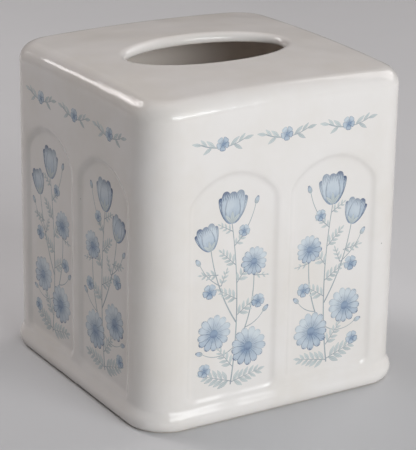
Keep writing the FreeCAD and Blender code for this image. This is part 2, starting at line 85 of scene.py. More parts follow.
# The drawing of a spray, in millimetres: x to the right of its stalk, y up from its foot.
# Stalks: three points of an arc. Flowers: x, y, radius. Bells: x, y, length, heading.
# Leaves: x, y, length, heading.
SPRAY_STALKS = (
    ((0, 0), (-2.4, 33), (0.6, 70)),
    ((-1.6, 14), (-8.4, 30), (-10, 51)),
    ((-2.2, 27), (5, 41), (10.2, 60)),
)
SPRAY_DAISIES = ((-8.2, 15.5, 8.6), (8.3, 24, 8.2), (-10.2, 52, 6.4))
SPRAY_FLORETS = ((10.5, 42.5, 3.3), (-12.6, 34.5, 3.2), (-5.2, 66, 2.7), (12.6, 8.5, 3.1))
SPRAY_BELLS = ((0.6, 70, 14, 92), (10.2, 60, 11.5, 74))
SPRAY_LEAVES = (
    (0, 1, 16.5, 168),
    (0, 1.5, 16.8, 20),
    (-0.6, 8, 12.5, 52),
    (-2.2, 30, 13, 147),
    (-2.4, 37, 11.5, 32),
    (-2.1, 44, 12.5, 128),
    (-1.4, 52, 11, 44),
    (-0.6, 60, 9.5, 138),
    (0.2, 66.5, 8, 30),
    (6.6, 49, 9.5, 8),
    (5.2, 44, 8, 112),
    (-10, 46, 7.5, 188),
)
SPRAY_BUD_STALKS = (
    ((-0.6, 60), (-7.4, 68.5), (-10.4, 76.5)),
    ((5.4, 44), (11.2, 48.6), (15.2, 54.5)),
    ((-6.6, 24), (-11.6, 26), (-15, 29.4)),
    ((-1.8, 17), (6, 13.6), (13.6, 16)),
)

# The drawing of a sprig. Its leaves also have a fullness, and are repeated on the other side.
SPRIG_STALK = ((-12, 1.2), (0, -1.6), (12, 1.2))
SPRIG_FLORET = (0, 0, 3.6)
SPRIG_LEAVES = (
    (4.2, -1.1, 6, 38, 0.32),
    (5.8, -0.8, 5.6, -32, 0.32),
    (8.6, 0, 5, 46, 0.32),
    (11.4, 0.9, 5.4, 12, 0.32),
)

# Seeds of the small differences between the marks of a drawing
SPRAY_SEED = 7
SPRIG_SEED = 11

# Stalks: widths in drawn millimetres, steps along the arc, share of the width lost on the way to its end
STALK_WIDTH = 0.6
BUD_STALK_WIDTH = 0.4
STALK_STEPS = 18
STALK_TAPER = 0.45

# Open flowers: petal widths and eyes are shares of the flower's radius. A petal starts under the eye.
DAISY_PETALS = 13
DAISY_PETAL_WIDTH = 0.38
DAISY_EYE = 0.22
FLORET_PETALS = 5
FLORET_PETAL_WIDTH = 0.85
FLORET_EYE = 0.2
EYE_STEPS = 14
PETAL_START = 0.7
PETAL_SWAY = 3
SHORTEST_PETAL = 0.9
PALEST_PETAL = 0.7

# Feathered leaves: rib width and spacing in drawn millimetres, places of leaflets counted in pairs,
# lengths and widths as shares, leans in degrees
RIB_WIDTH = 0.36
LEAFLET_SPACING = 3.1
FEWEST_PAIRS = 2
RIB_SHARE = 0.8
FIRST_PAIR = 0.6
PAIR_STAGGER = 0.12
SPARE_PAIR = 0.3
LEAFLET_SHARE = 0.34
LEAFLET_LOSS = 0.12
LEAFLET_SPREAD = (0.9, 1.08)
LEAFLET_FULLNESS = 0.36
LEAFLET_LEAN = 50
LEAFLET_LEAN_LOSS = 14
LEAFLET_SWAY = 5
PALEST_LEAFLET = 0.5
TIP_LEAFLET_LENGTH = 0.22
TIP_LEAFLET_WIDTH = 0.08

# Buds: length in drawn millimetres, then shares of it, degrees, and shades
BUD_LENGTH = 3.4
BUD_FULLNESS = 0.55
BUD_SHADE = 0.6
BUD_SEPAL_LENGTH = 0.5
BUD_SEPAL_WIDTH = 0.2
BUD_SEPAL_LEAN = 24
BUD_SEPAL_SHADE = 0.8

# Heading of the marks that are shaded most, in degrees, and the shade of a mark that isn't given one
SHADY_HEADING = -55
PLAIN_SHADE = 0.3

# Heights of the printed marks above the glaze, in drawn millimetres, from the lowest layer up
LAYER_STALK = 0.03
LAYER_LEAF = 0.045
LAYER_BACK_PETAL = 0.06
LAYER_PETAL = 0.075
LAYER_SEPAL = 0.09
LAYER_EYE = 0.105

# How deep a mark reaches, and how far it lies above the mark before it
FILM_DEPTH = 0.1
MARK_LIFT = 0.00006

# Marks of a bell from the back to the front: stencil, layer, length and width in lengths of the flower,
# lean, shade
BELL_MARKS = (
    ("bell", LAYER_LEAF, 0.9, 0.34, -30, 0.9),
    ("bell", LAYER_LEAF, 0.9, 0.34, 30, 0.5),
    ("bell", LAYER_BACK_PETAL, 1, 0.5, -16, 0.7),
    ("bell", LAYER_BACK_PETAL, 1, 0.5, 16, 0.3),
    ("bell", LAYER_PETAL, 0.94, 0.5, 0, 0.4),
    ("leaflet", LAYER_SEPAL, 0.36, 0.12, -42, 0.7),
    ("leaflet", LAYER_SEPAL, 0.36, 0.12, 0, 0.7),
    ("leaflet", LAYER_SEPAL, 0.36, 0.12, 42, 0.7),
)

# Attribute that says how heavily a mark is shaded, from 0 to 1
SHADE_NAME = "shade"


# Small helpers


def deselect_all():
    bpy.ops.object.select_all(action="DESELECT")


def make_active(piece):
    deselect_all()
    piece.select_set(True)
    bpy.context.view_layer.objects.active = piece


def apply_modifier(piece, kind, **settings):
    make_active(piece)
    modifier = piece.modifiers.new(kind.lower(), kind)
    for name, value in settings.items():
        setattr(modifier, name, value)
    bpy.ops.object.modifier_apply(modifier=modifier.name)


def direction(azimuth, elevation):
    """Unit vector from the object: azimuth 0 is the front, 90 the right, in degrees."""
    turn, rise = math.radians(azimuth), math.radians(elevation)
    return Vector((math.sin(turn) * math.cos(rise), -math.cos(turn) * math.cos(rise), math.sin(rise)))


# Node helpers


def new_material(name):
    material = bpy.data.materials.new(name)
    material.use_nodes = True
    nodes = material.node_tree.nodes
    return material, nodes, material.node_tree.links, nodes["Principled BSDF"]


def math_node(tree, operation, first, second=None, clamp=False):
    node = tree.nodes.new("ShaderNodeMath")
    node.operation = operation
    node.use_clamp = clamp
    for socket, value in zip(node.inputs, (first, second)):
        if isinstance(value, bpy.types.NodeSocket):
            tree.links.new(value, socket)
        elif value is not None:
            socket.default_value = value
    return node.outputs[0]


def ramp_between(tree, value, low, high):
    """0 below low and 1 above high, smooth between them. High may be below low."""
    node = tree.nodes.new("ShaderNodeMapRange")
    node.interpolation_type = "SMOOTHSTEP"
    tree.links.new(value, node.inputs["Value"])
    node.inputs["From Min"].default_value = low
    node.inputs["From Max"].default_value = high
    return node.outputs["Result"]


def noise(tree, vector, scale, detail=2.0, roughness=0.5):
    node = tree.nodes.new("ShaderNodeTexNoise")
    node.inputs["Scale"].default_value = scale
    node.inputs["Detail"].default_value = detail
    node.inputs["Roughness"].default_value = roughness
    tree.links.new(vector, node.inputs["Vector"])
    return node.outputs["Fac"]


def mix_colours(tree, share, first, second):
    """The second colour over the first. A mix node has its colours at inputs 6 and 7, and output 2."""
    node = tree.nodes.new("ShaderNodeMix")
    node.data_type = "RGBA"
    for socket, value in ((node.inputs[0], share), (node.inputs[6], first), (node.inputs[7], second)):
        if isinstance(value, bpy.types.NodeSocket):
            tree.links.new(value, socket)
        elif socket is node.inputs[0]:
            socket.default_value = value
        else:
            socket.default_value = (*value, 1)
    return node.outputs[2]


def depth_in_plan(tree, x, y):
    """Distance outside the rounded square of the walls, seen from above. It is negative within it."""
    bend = HALF_SIDE - CORNER_RADIUS
    past = [math_node(tree, "SUBTRACT", math_node(tree, "ABSOLUTE", value), bend) for value in (x, y)]
    outer = [math_node(tree, "POWER", math_node(tree, "MAXIMUM", value, 0.0), 2.0) for value in past]
    round_corner = math_node(tree, "SQRT", math_node(tree, "ADD", *outer))
    flat_side = math_node(tree, "MINIMUM", math_node(tree, "MAXIMUM", *past), 0.0)
    return math_node(tree, "SUBTRACT", math_node(tree, "ADD", round_corner, flat_side), CORNER_RADIUS)


def object_place(tree):
    return tree.nodes.new("ShaderNodeTexCoord").outputs["Object"]


# Finishes

# Skin of the glaze: how finely each noise repeats and how much it does. Gloss is given as roughness.
WAVE_SCALE = 38
WAVE_HEIGHT = 0.0006
PEEL_SCALE = 420
PEEL_SHARE = 0.012
GLOSS_SCALE = 90
GLOSS_WANDER = 0.06
GLAZE_GLOSS = 0.08
PRINT_GLOSS = 0.1
GLAZE_IOR = 1.4


def make_glaze_group():
    """The skin of the glaze: long soft waves, fine orange peel and gloss that wanders a little."""
    group = bpy.data.node_groups.new("glaze_skin", "ShaderNodeTree")
    group.interface.new_socket("Gloss", in_out="INPUT", socket_type="NodeSocketFloat")
    group.interface.new_socket("Roughness", in_out="OUTPUT", socket_type="NodeSocketFloat")
    group.interface.new_socket("Normal", in_out="OUTPUT", socket_type="NodeSocketVector")
    inputs = group.nodes.new("NodeGroupInput")
    outputs = group.nodes.new("NodeGroupOutput")
    place = object_place(group)
    waves = noise(group, place, WAVE_SCALE, detail=1.0)
    peel = noise(group, place, PEEL_SCALE, detail=1.0)
    height = math_node(group, "ADD", waves, math_node(group, "MULTIPLY", peel, PEEL_SHARE))
    bump = group.nodes.new("ShaderNodeBump")
    bump.inputs["Strength"].default_value = 1
    bump.inputs["Distance"].default_value = WAVE_HEIGHT
    group.links.new(height, bump.inputs["Height"])
    patches = noise(group, place, GLOSS_SCALE, detail=3.0)
    wander = math_node(group, "MULTIPLY", patches, GLOSS_WANDER)
    group.links.new(math_node(group, "ADD", inputs.outputs["Gloss"], wander), outputs.inputs["Roughness"])
    group.links.new(bump.outputs["Normal"], outputs.inputs["Normal"])
    return group


def add_glaze_skin(material, group, gloss):
    nodes, links = material.node_tree.nodes, material.node_tree.links
    skin = nodes.new("ShaderNodeGroup")
    skin.node_tree = group
    skin.inputs["Gloss"].default_value = gloss
    links.new(skin.outputs["Normal"], nodes["Principled BSDF"].inputs["Normal"])
    return skin


# Tones of the casting: the glaze, where it runs thin, inside the cover (the glaze painted paler than outside,
# as painted light that brightens the hollow), and the bare ring under the foot
WHITE_GLAZE = (0.80, 0.768, 0.742)
THIN_GLAZE = (0.76, 0.72, 0.675)
PAINTED_PALE_INSIDE_GLAZE = (0.96, 0.89, 0.825)
BARE_CLAY = (0.70, 0.62, 0.52)
CLOUD_SCALE = 26
CLOUD_EDGES = (0.35, 0.75)

# Where each tone begins and is full: distance from the outside of the walls, height at the top, at the foot
INSIDE_WALLS = (-3.6 * MM, -4.6 * MM)
UNDER_TOP = (CEILING_HEIGHT + 1.2 * MM, CEILING_HEIGHT + 0.2 * MM)
BARE_RING = (0.9 * MM, 0.3 * MM)
INSIDE_DULLNESS = 0.12
BARE_DULLNESS = 0.6

# Pinholes, one in each cell of a net at most, and one speck of iron
IRON_SPECK = (0.05, 0.04, 0.035)
SPECK_PLACE = (-65.6 * MM, -4.2 * MM, 89.2 * MM)
SPECK_RADIUS = 0.6 * MM
PINHOLE_SCALE = 34
PINHOLE_EDGES = (0.014, 0.008)
PINHOLE_STRENGTH = 0.5


def make_white_glaze(glaze_group):
    material, nodes, links, shader = new_material("white_glaze")
    tree = material.node_tree
    place = object_place(tree)
    apart = nodes.new("ShaderNodeSeparateXYZ")
    links.new(place, apart.inputs[0])
    x, y, z = apart.outputs
    depth = depth_in_plan(tree, x, y)
    within_walls = ramp_between(tree, depth, *INSIDE_WALLS)
    below_top = ramp_between(tree, z, *UNDER_TOP)
    inside = math_node(tree, "MULTIPLY", within_walls, below_top)
    bare = ramp_between(tree, z, *BARE_RING)
    clouds = noise(tree, place, CLOUD_SCALE, detail=4.0, roughness=0.6)
    tone = mix_colours(tree, ramp_between(tree, clouds, *CLOUD_EDGES), WHITE_GLAZE, THIN_GLAZE)
    # Painted light: inside the walls and under the top the glaze gets a paler tone that brightens the hollow
    tone = mix_colours(tree, inside, tone, PAINTED_PALE_INSIDE_GLAZE)
    tone = mix_colours(tree, bare, tone, BARE_CLAY)
    cells = nodes.new("ShaderNodeTexVoronoi")
    cells.inputs["Scale"].default_value = PINHOLE_SCALE
    links.new(place, cells.inputs["Vector"])
    holes = ramp_between(tree, cells.outputs["Distance"], *PINHOLE_EDGES)
    pinholes = math_node(tree, "MULTIPLY", holes, PINHOLE_STRENGTH)
    away = nodes.new("ShaderNodeVectorMath")
    away.operation = "DISTANCE"
    away.inputs[1].default_value = SPECK_PLACE
    links.new(place, away.inputs[0])
    speck = ramp_between(tree, away.outputs["Value"], SPECK_RADIUS, SPECK_RADIUS / 2)
    tone = mix_colours(tree, math_node(tree, "MAXIMUM", pinholes, speck), tone, IRON_SPECK)
    links.new(tone, shader.inputs["Base Color"])
    skin = add_glaze_skin(material, glaze_group, GLAZE_GLOSS)
    dull_foot = math_node(tree, "MULTIPLY", bare, BARE_DULLNESS)
    dull = math_node(tree, "ADD", dull_foot, math_node(tree, "MULTIPLY", inside, INSIDE_DULLNESS))
    rough = math_node(tree, "ADD", skin.outputs["Roughness"], dull, clamp=True)
    links.new(rough, shader.inputs["Roughness"])
    shader.inputs["IOR"].default_value = GLAZE_IOR
    return material


# Paints of the prints: pale wash, middle tone, deep line
PETAL_PAINTS = ((0.64, 0.69, 0.72), (0.215, 0.31, 0.45), (0.022, 0.045, 0.13))
FLORET_PAINTS = ((0.58, 0.64, 0.685), (0.18, 0.275, 0.42), (0.022, 0.045, 0.13))
BELL_PAINTS = ((0.64, 0.69, 0.72), (0.21, 0.305, 0.445), (0.022, 0.045, 0.13))
LEAF_PAINTS = ((0.61, 0.65, 0.645), (0.42, 0.47, 0.485), (0.09, 0.125, 0.17))
STALK_PAINTS = ((0.40, 0.445, 0.47), (0.27, 0.32, 0.365), (0.09, 0.125, 0.18))
EYE_PAINTS = ((0.29, 0.37, 0.48), (0.10, 0.15, 0.27), (0.025, 0.04, 0.11))

# Scales of the noises in a wash, and how much they, the shade of a mark and its ends count
GRAIN_SCALE = 900
BLOT_SCALE = 190
BLOT_WEIGHT = 0.2
SHADE_WEIGHT = 0.42
LINE_WEIGHT = 0.85
LEAST_LINE = 0.25
RIM_AT_ENDS = 0.6
RIM_GRAIN = 0.10
FRAY = 0.4

# Where each mask of a wash begins and ends
RIM_EDGES = (0.17, 0.06)
VEIN_EDGES = (0.36, 0.06)
VEIN_ENDS = (0.35, 0.05)
TOOTH_EDGES = (0.35, -0.5)
TIP_EDGES = (0.84, 1.14)
BASE_EDGES = (0.5, 0.02)
BLOT_EDGES = (0.4, 0.75)


def make_wash_group():
    """A printed mark: a wash with a darker base, and fine lines from its base, at its tip and round it."""
    group = bpy.data.node_groups.new("printed_wash", "ShaderNodeTree")
    for name in ("Pale", "Middle", "Deep"):
        group.interface.new_socket(name, in_out="INPUT", socket_type="NodeSocketColor")
    for name in ("Veins", "Vein Strength", "Vein Reach", "Base Shade", "Rim", "Fringe"):
        group.interface.new_socket(name, in_out="INPUT", socket_type="NodeSocketFloat")
    group.interface.new_socket("Color", in_out="OUTPUT", socket_type="NodeSocketColor")
    inputs = group.nodes.new("NodeGroupInput").outputs
    outputs = group.nodes.new("NodeGroupOutput").inputs
    coordinates = group.nodes.new("ShaderNodeTexCoord")
    shade_of_mark = group.nodes.new("ShaderNodeAttribute")
    shade_of_mark.attribute_name = SHADE_NAME
    shade = shade_of_mark.outputs["Fac"]
    apart = group.nodes.new("ShaderNodeSeparateXYZ")
    group.links.new(coordinates.outputs["UV"], apart.inputs[0])
    u, v = apart.outputs[0], apart.outputs[1]
    grain = noise(group, coordinates.outputs["Object"], GRAIN_SCALE, detail=3.0, roughness=0.6)
    blot = noise(group, coordinates.outputs["Object"], BLOT_SCALE)
    weight = math_node(group, "ADD", math_node(group, "MULTIPLY", shade, LINE_WEIGHT), LEAST_LINE)
    side = math_node(group, "MINIMUM", u, math_node(group, "SUBTRACT", 1.0, u))
    ends = math_node(group, "MULTIPLY", math_node(group, "SUBTRACT", 1.0, v), RIM_AT_ENDS)
    rim_distance = math_node(group, "MINIMUM", side, ends)
    rim_noise = math_node(group, "ADD", rim_distance, math_node(group, "MULTIPLY", grain, RIM_GRAIN))
    rim = math_node(group, "MULTIPLY", ramp_between(group, rim_noise, *RIM_EDGES), inputs["Rim"])
    swing = math_node(group, "MULTIPLY", math_node(group, "SUBTRACT", u, 0.5), inputs["Veins"])
    swing = math_node(group, "MULTIPLY", swing, math.pi)
    wave = math_node(group, "ABSOLUTE", math_node(group, "SINE", swing))
    line = ramp_between(group, wave, *VEIN_EDGES)
    frayed = math_node(group, "ADD", v, math_node(group, "MULTIPLY", grain, FRAY))
    left_over = math_node(group, "SUBTRACT", frayed, inputs["Vein Reach"])
    vein = math_node(group, "MULTIPLY", line, ramp_between(group, left_over, *VEIN_ENDS))
    vein = math_node(group, "MULTIPLY", vein, inputs["Vein Strength"])
    double_swing = math_node(group, "MULTIPLY", swing, 2.0)
    tooth = ramp_between(group, math_node(group, "COSINE", double_swing), *TOOTH_EDGES)
    tip = ramp_between(group, frayed, *TIP_EDGES)
    fringe = math_node(group, "MULTIPLY", math_node(group, "MULTIPLY", tooth, tip), inputs["Fringe"])
    lines = math_node(group, "MULTIPLY", math_node(group, "MAXIMUM", rim, fringe), weight)
    base = math_node(group, "MULTIPLY", ramp_between(group, v, *BASE_EDGES), inputs["Base Shade"])
    blots = math_node(group, "MULTIPLY", ramp_between(group, blot, *BLOT_EDGES), BLOT_WEIGHT)
    wash = math_node(group, "ADD", base, math_node(group, "MULTIPLY", shade, SHADE_WEIGHT))
    middle_share = math_node(group, "ADD", wash, blots, clamp=True)
    colour = mix_colours(group, middle_share, inputs["Pale"], inputs["Middle"])
    deep_share = math_node(group, "MAXIMUM", lines, vein, clamp=True)
    colour = mix_colours(group, deep_share, colour, inputs["Deep"])
    group.links.new(colour, outputs["Color"])
    return group


def make_paint(name, groups, paints, **wash_values):
    """Wash values: veins, vein_strength, vein_reach, base_shade, rim and fringe."""
    glaze_group, wash_group = groups
    material, nodes, links, shader = new_material(name)
    wash = nodes.new("ShaderNodeGroup")
    wash.node_tree = wash_group
    for socket, paint in zip(("Pale", "Middle", "Deep"), paints):
        wash.inputs[socket].default_value = (*paint, 1)
    for key, value in wash_values.items():
        wash.inputs[key.replace("_", " ").title()].default_value = value
    links.new(wash.outputs["Color"], shader.inputs["Base Color"])
    skin = add_glaze_skin(material, glaze_group, PRINT_GLOSS)
    links.new(skin.outputs["Roughness"], shader.inputs["Roughness"])
    shader.inputs["IOR"].default_value = GLAZE_IOR
    return material


# The casting


def soften_foot(shell):
    """Glaze softens the foot's swell and the hollow above it, and less so towards the floor and the wall."""
    swell = shell.vertex_groups.new(name="foot_swell")
    for vertex in shell.data.vertices:
        above_floor = (vertex.co.z - FOOT_SOFT_FROM) / FOOT_SOFT_FADE
        below_wall = (FOOT_SOFT_TO - vertex.co.z) / FOOT_SOFT_FADE
        share = min(above_floor, below_wall, 1)
        if share > 0:
            swell.add([vertex.index], share, "REPLACE")
    apply_modifier(shell, "SMOOTH", factor=SMOOTHING_STEP, iterations=FOOT_SMOOTHING, vertex_group=swell.name)
    shell.vertex_groups.clear()


def make_glazed_shell(material):
    """A merged copy of the shell on an even net of faces, smoothed as glaze rounds an edge."""
    shell = bpy.data.objects.new("glazed_shell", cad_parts["cover_shell"].data.copy())
    bpy.context.scene.collection.objects.link(shell)
    make_active(shell)
    bpy.ops.object.mode_set(mode="EDIT")
    bpy.ops.mesh.select_all(action="SELECT")
    bpy.ops.mesh.remove_doubles(threshold=MERGE_DISTANCE)
    bpy.ops.object.mode_set(mode="OBJECT")
    apply_modifier(shell, "REMESH", mode="VOXEL", voxel_size=SHELL_NET, use_smooth_shade=True)
    apply_modifier(shell, "SMOOTH", factor=SMOOTHING_STEP, iterations=SHELL_SMOOTHING)
    soften_foot(shell)
    triangles = sum(len(face.vertices) - 2 for face in shell.data.polygons)
    share = min(1, SHELL_TRIANGLES / triangles)
    apply_modifier(shell, "DECIMATE", ratio=share, use_collapse_triangulate=True)
    make_active(shell)
    bpy.ops.object.shade_smooth()
    shell.data.materials.clear()
    shell.data.materials.append(material)
    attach(shell, "root")
    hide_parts("cover_shell")


# Marks of the prints. A stencil is one mark of unit length, from its base at the origin up along Y.


def make_stencil(name, outline, material, rounded=False):
    """A mark from its base to its tip, from a list of heights and widths."""
    rows = len(outline) - 1
    deselect_all()
    bpy.ops.mesh.primitive_grid_add(x_subdivisions=2, y_subdivisions=rows, size=1, location=(0, 0.5, 0))
    stencil = bpy.context.object
    stencil.name = name
    bpy.ops.object.transform_apply(location=True, rotation=False, scale=False)
    row_of = [round(vertex.co.y * rows) for vertex in stencil.data.vertices]
    for row, (height, width) in enumerate(outline):
        select_vertices(stencil, [number for number, own_row in enumerate(row_of) if own_row == row])
        bpy.ops.object.mode_set(mode="EDIT")
        bpy.ops.transform.resize(value=(width, 1, 1), center_override=(0, row / rows, 0))
        bpy.ops.transform.translate(value=(0, height - row / rows, 0))
        bpy.ops.object.mode_set(mode="OBJECT")
    if rounded:
        apply_modifier(stencil, "SUBSURF", levels=1, render_levels=1, boundary_smooth="ALL")
    stencil.data.materials.append(material)
    return stencil


def select_vertices(piece, numbers):
    wanted = set(numbers)
    for face in piece.data.polygons:
        face.select = False
    for vertex in piece.data.vertices:
        vertex.select = vertex.index in wanted
    for edge in piece.data.edges:
        edge.select = wanted.issuperset(edge.vertices)


def print_mark(stencil, place, size, heading, layer, shade=PLAIN_SHADE):
    """A copy of a stencil in the drawing: place of its base, length and width, in drawn millimetres."""
    mark = bpy.data.objects.new("mark", stencil.data.copy())
    bpy.context.scene.collection.objects.link(mark)
    length, width = size
    turn = Matrix.Rotation(math.radians(heading - 90), 4, "Z")
    mark.data.transform(Matrix.Translation((*place, layer)) @ turn @ Matrix.Diagonal((width, length, 1, 1)))
    shades = mark.data.attributes.new(SHADE_NAME, "FLOAT", "POINT")
    shades.data.foreach_set("value", [shade] * len(mark.data.vertices))
    return mark


def draw_stalk(points, width, material):
    """A ribbon along the arc through three points, thinner towards its end."""
    start, through, end = (Vector(point) for point in points)
    centre = circle_centre(start, through, end)
    spoke = start - centre
    sweep = spoke.angle_signed(end - centre) * -1
    length = spoke.length * abs(sweep)
    deselect_all()
    bpy.ops.mesh.primitive_grid_add(x_subdivisions=STALK_STEPS, y_subdivisions=1, size=1)
    stalk = bpy.context.object
    stalk.data.transform(Matrix.Translation((0.5, 0, 0)))
    apply_modifier(stalk, "SIMPLE_DEFORM", deform_method="TAPER", deform_axis="X", factor=-STALK_TAPER)
    stalk.data.transform(Matrix.Diagonal((length, width, 1, 1)))
    apply_modifier(stalk, "SIMPLE_DEFORM", deform_method="BEND", deform_axis="Z", angle=sweep)
    heading = math.atan2(spoke.y, spoke.x) + math.copysign(math.pi / 2, sweep)
    stalk.data.transform(Matrix.Translation((*start, LAYER_STALK)) @ Matrix.Rotation(heading, 4, "Z"))
    stalk.data.materials.append(material)
    return stalk


def circle_centre(first, second, third):
    ax, ay = second - first
    bx, by = third - first
    twice = 2 * (ax * by - ay * bx)
    a_square, b_square = ax * ax + ay * ay, bx * bx + by * by
    return first + Vector(((by * a_square - ay * b_square) / twice, (ax * b_square - bx * a_square) / twice))


def draw_eye(x, y, radius, material):
    """The disc in the middle of an open flower."""
    deselect_all()
    bpy.ops.mesh.primitive_circle_add(vertices=EYE_STEPS, radius=radius, fill_type="TRIFAN")
    eye = bpy.context.object
    eye.data.transform(Matrix.Translation((x, y, LAYER_EYE)))
    eye.data.materials.append(material)
    return eye


def shade_towards(heading):
    """Marks that point down and to the right are the darker ones."""
    return 0.5 + 0.5 * math.cos(math.radians(heading - SHADY_HEADING))


def draw_open_flower(x, y, radius, petals, stencil, petal_width, eye_share, eye_paint, dice):
    """A ring of petals that overlap by turns, and an eye over their feet."""
    marks = []
    for number in range(petals):
        heading = 90 + (number + 0.5) * 360 / petals + dice.uniform(-PETAL_SWAY, PETAL_SWAY)
        turn = math.radians(heading)
        base = radius * eye_share * PETAL_START
        foot = (x + base * math.cos(turn), y + base * math.sin(turn))
        length = (radius - base) * dice.uniform(SHORTEST_PETAL, 1.0)
        # Every second petal lies over the petals beside it, and the last one at half height
        level = 1 if number == petals - 1 else 2 * (number % 2)
        layer = LAYER_BACK_PETAL + (LAYER_PETAL - LAYER_BACK_PETAL) * level / 2
        shade = shade_towards(heading) * dice.uniform(PALEST_PETAL, 1.0)
        marks.append(print_mark(stencil, foot, (length, radius * petal_width), heading, layer, shade))
    marks.append(draw_eye(x, y, radius * eye_share, eye_paint))
    return marks


def draw_bell(x, y, length, heading, stencils):
    """A cup-shaped flower from the side: petals behind, one before them, and sepals below."""
    marks = []
    for name, layer, length_share, width_share, lean, shade in BELL_MARKS:
        size = (length * length_share, length * width_share)
        marks.append(print_mark(stencils[name], (x, y), size, heading + lean, layer, shade))
    return marks


def draw_feathered_leaf(x, y, length, heading, stencils, dice):
    """Pairs of leaflets along a thin rib, smaller towards its end, and one leaflet at the tip."""
    leaflet = stencils["leaflet"]
    turn = math.radians(heading)
    rib_length = length * RIB_SHARE
    pairs = max(FEWEST_PAIRS, round(length / LEAFLET_SPACING))
    marks = [print_mark(stencils["rib"], (x, y), (rib_length, RIB_WIDTH), heading, LAYER_STALK)]
    for pair in range(pairs):
        for side in (-1, 1):
            along = (pair + FIRST_PAIR + PAIR_STAGGER * side) / (pairs + SPARE_PAIR)
            foot = (x + rib_length * along * math.cos(turn), y + rib_length * along * math.sin(turn))
            reach = length * (LEAFLET_SHARE - LEAFLET_LOSS * along) * dice.uniform(*LEAFLET_SPREAD)
            sway = dice.uniform(-LEAFLET_SWAY, LEAFLET_SWAY)
            lean = heading + side * (LEAFLET_LEAN - LEAFLET_LEAN_LOSS * along + sway)
            shade = shade_towards(lean) * dice.uniform(PALEST_LEAFLET, 1.0)
            size = (reach, reach * LEAFLET_FULLNESS)
            marks.append(print_mark(leaflet, foot, size, lean, LAYER_LEAF, shade))
    tip = (x + rib_length * math.cos(turn), y + rib_length * math.sin(turn))
    tip_size = (length * TIP_LEAFLET_LENGTH, length * TIP_LEAFLET_WIDTH)
    marks.append(print_mark(leaflet, tip, tip_size, heading, LAYER_LEAF))
    return marks


def draw_bud(points, stencils, paints):
    """A small closed flower at the end of its own thin stalk."""
    _, through, end = points
    heading = math.degrees(math.atan2(end[1] - through[1], end[0] - through[0]))
    petals, sepal = stencils["bell"], stencils["leaflet"]
    size = (BUD_LENGTH, BUD_LENGTH * BUD_FULLNESS)
    sepal_size = (BUD_LENGTH * BUD_SEPAL_LENGTH, BUD_LENGTH * BUD_SEPAL_WIDTH)
    return [
        draw_stalk(points, BUD_STALK_WIDTH, paints["stalk"]),
        print_mark(petals, end, size, heading, LAYER_PETAL, BUD_SHADE),
        print_mark(sepal, end, sepal_size, heading + BUD_SEPAL_LEAN, LAYER_SEPAL, BUD_SEPAL_SHADE),
        print_mark(sepal, end, sepal_size, heading - BUD_SEPAL_LEAN, LAYER_SEPAL, BUD_SEPAL_SHADE),
    ]


def join_drawing(name, marks):
    """All marks in one mesh, each a hair above the one before, so that no two share an edge or a plane."""
    deselect_all()
    for number, mark in enumerate(marks):
        mark.data.transform(Matrix.Translation((0, 0, number * MARK_LIFT)))
        mark.select_set(True)
    bpy.context.view_layer.objects.active = marks[0]
    bpy.ops.object.join()
    drawing = bpy.context.object
    drawing.name = name
    apply_modifier(drawing, "SOLIDIFY", thickness=FILM_DEPTH, offset=-1)
    return drawing


def draw_daisy(place, stencils, paints, dice):
    form = (DAISY_PETALS, stencils["daisy"], DAISY_PETAL_WIDTH, DAISY_EYE, paints["eye"])
    return draw_open_flower(*place, *form, dice)


def draw_floret(place, stencils, paints, dice):
    form = (FLORET_PETALS, stencils["floret"], FLORET_PETAL_WIDTH, FLORET_EYE, paints["eye"])
    return draw_open_flower(*place, *form, dice)


def draw_spray(stencils, paints):
    """An upright plant: stalks, feathered leaves and buds, with flowers over them."""
    dice = random.Random(SPRAY_SEED)
    marks = [draw_stalk(points, STALK_WIDTH, paints["stalk"]) for points in SPRAY_STALKS]
    for leaf in SPRAY_LEAVES:
        marks += draw_feathered_leaf(*leaf, stencils, dice)
    for points in SPRAY_BUD_STALKS:
        marks += draw_bud(points, stencils, paints)
    for bell in SPRAY_BELLS:
        marks += draw_bell(*bell, stencils)
    for daisy in SPRAY_DAISIES:
        marks += draw_daisy(daisy, stencils, paints, dice)
    for floret in SPRAY_FLORETS:
        marks += draw_floret(floret, stencils, paints, dice)
    return join_drawing("spray_drawing", marks)


def draw_sprig(stencils, paints):
    """A level twig with leaves towards both ends and a small flower over its middle."""
    dice = random.Random(SPRIG_SEED)
    marks = [draw_stalk(SPRIG_STALK, STALK_WIDTH, paints["stalk"])]
    for x, y, length, heading, fullness in SPRIG_LEAVES:
        size = (length, length * fullness)
        for place, lean in (((x, y), heading), ((-x, y), 180 - heading)):
            marks.append(print_mark(stencils["leaflet"], place, size, lean, LAYER_LEAF, shade_towards(lean)))
    marks += draw_floret(SPRIG_FLORET, stencils, paints, dice)
    return join_drawing("sprig_drawing", marks)


def lay_print(name, drawing, node, turn, hand):
    """A copy of a drawing on its side of the cover, in the place of its CAD film."""
    face_on = Matrix.Rotation(math.radians(-turn), 4, "Z")
    corners = [face_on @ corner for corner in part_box(node)]
    low = Vector([min(values) for values in zip(*corners)])
    high = Vector([max(values) for values in zip(*corners)])
    drawn = [vertex.co for vertex in drawing.data.vertices]
    left, right = min(point.x for point in drawn), max(point.x for point in drawn)
    foot, head = min(point.y for point in drawn), max(point.y for point in drawn)
    scale = min((high.x - low.x) / (right - left), (high.z - low.z) / (head - foot))
    film = bpy.data.objects.new(name, drawing.data.copy())
    bpy.context.scene.collection.objects.link(film)
    to_origin = Matrix.Translation((-(left + right) / 2, -foot, 0))
    sized = Matrix.Diagonal((scale * hand, scale, MM, 1))
    stand_up = Matrix.Rotation(math.radians(90), 4, "X")
    to_wall = Matrix.Translation(((low.x + high.x) / 2, high.y, low.z))
    film.data.transform(face_on.inverted() @ to_wall @ stand_up @ sized @ to_origin)
    if hand < 0:
        film.data.flip_normals()
    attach(film, "root")
    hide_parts(node)


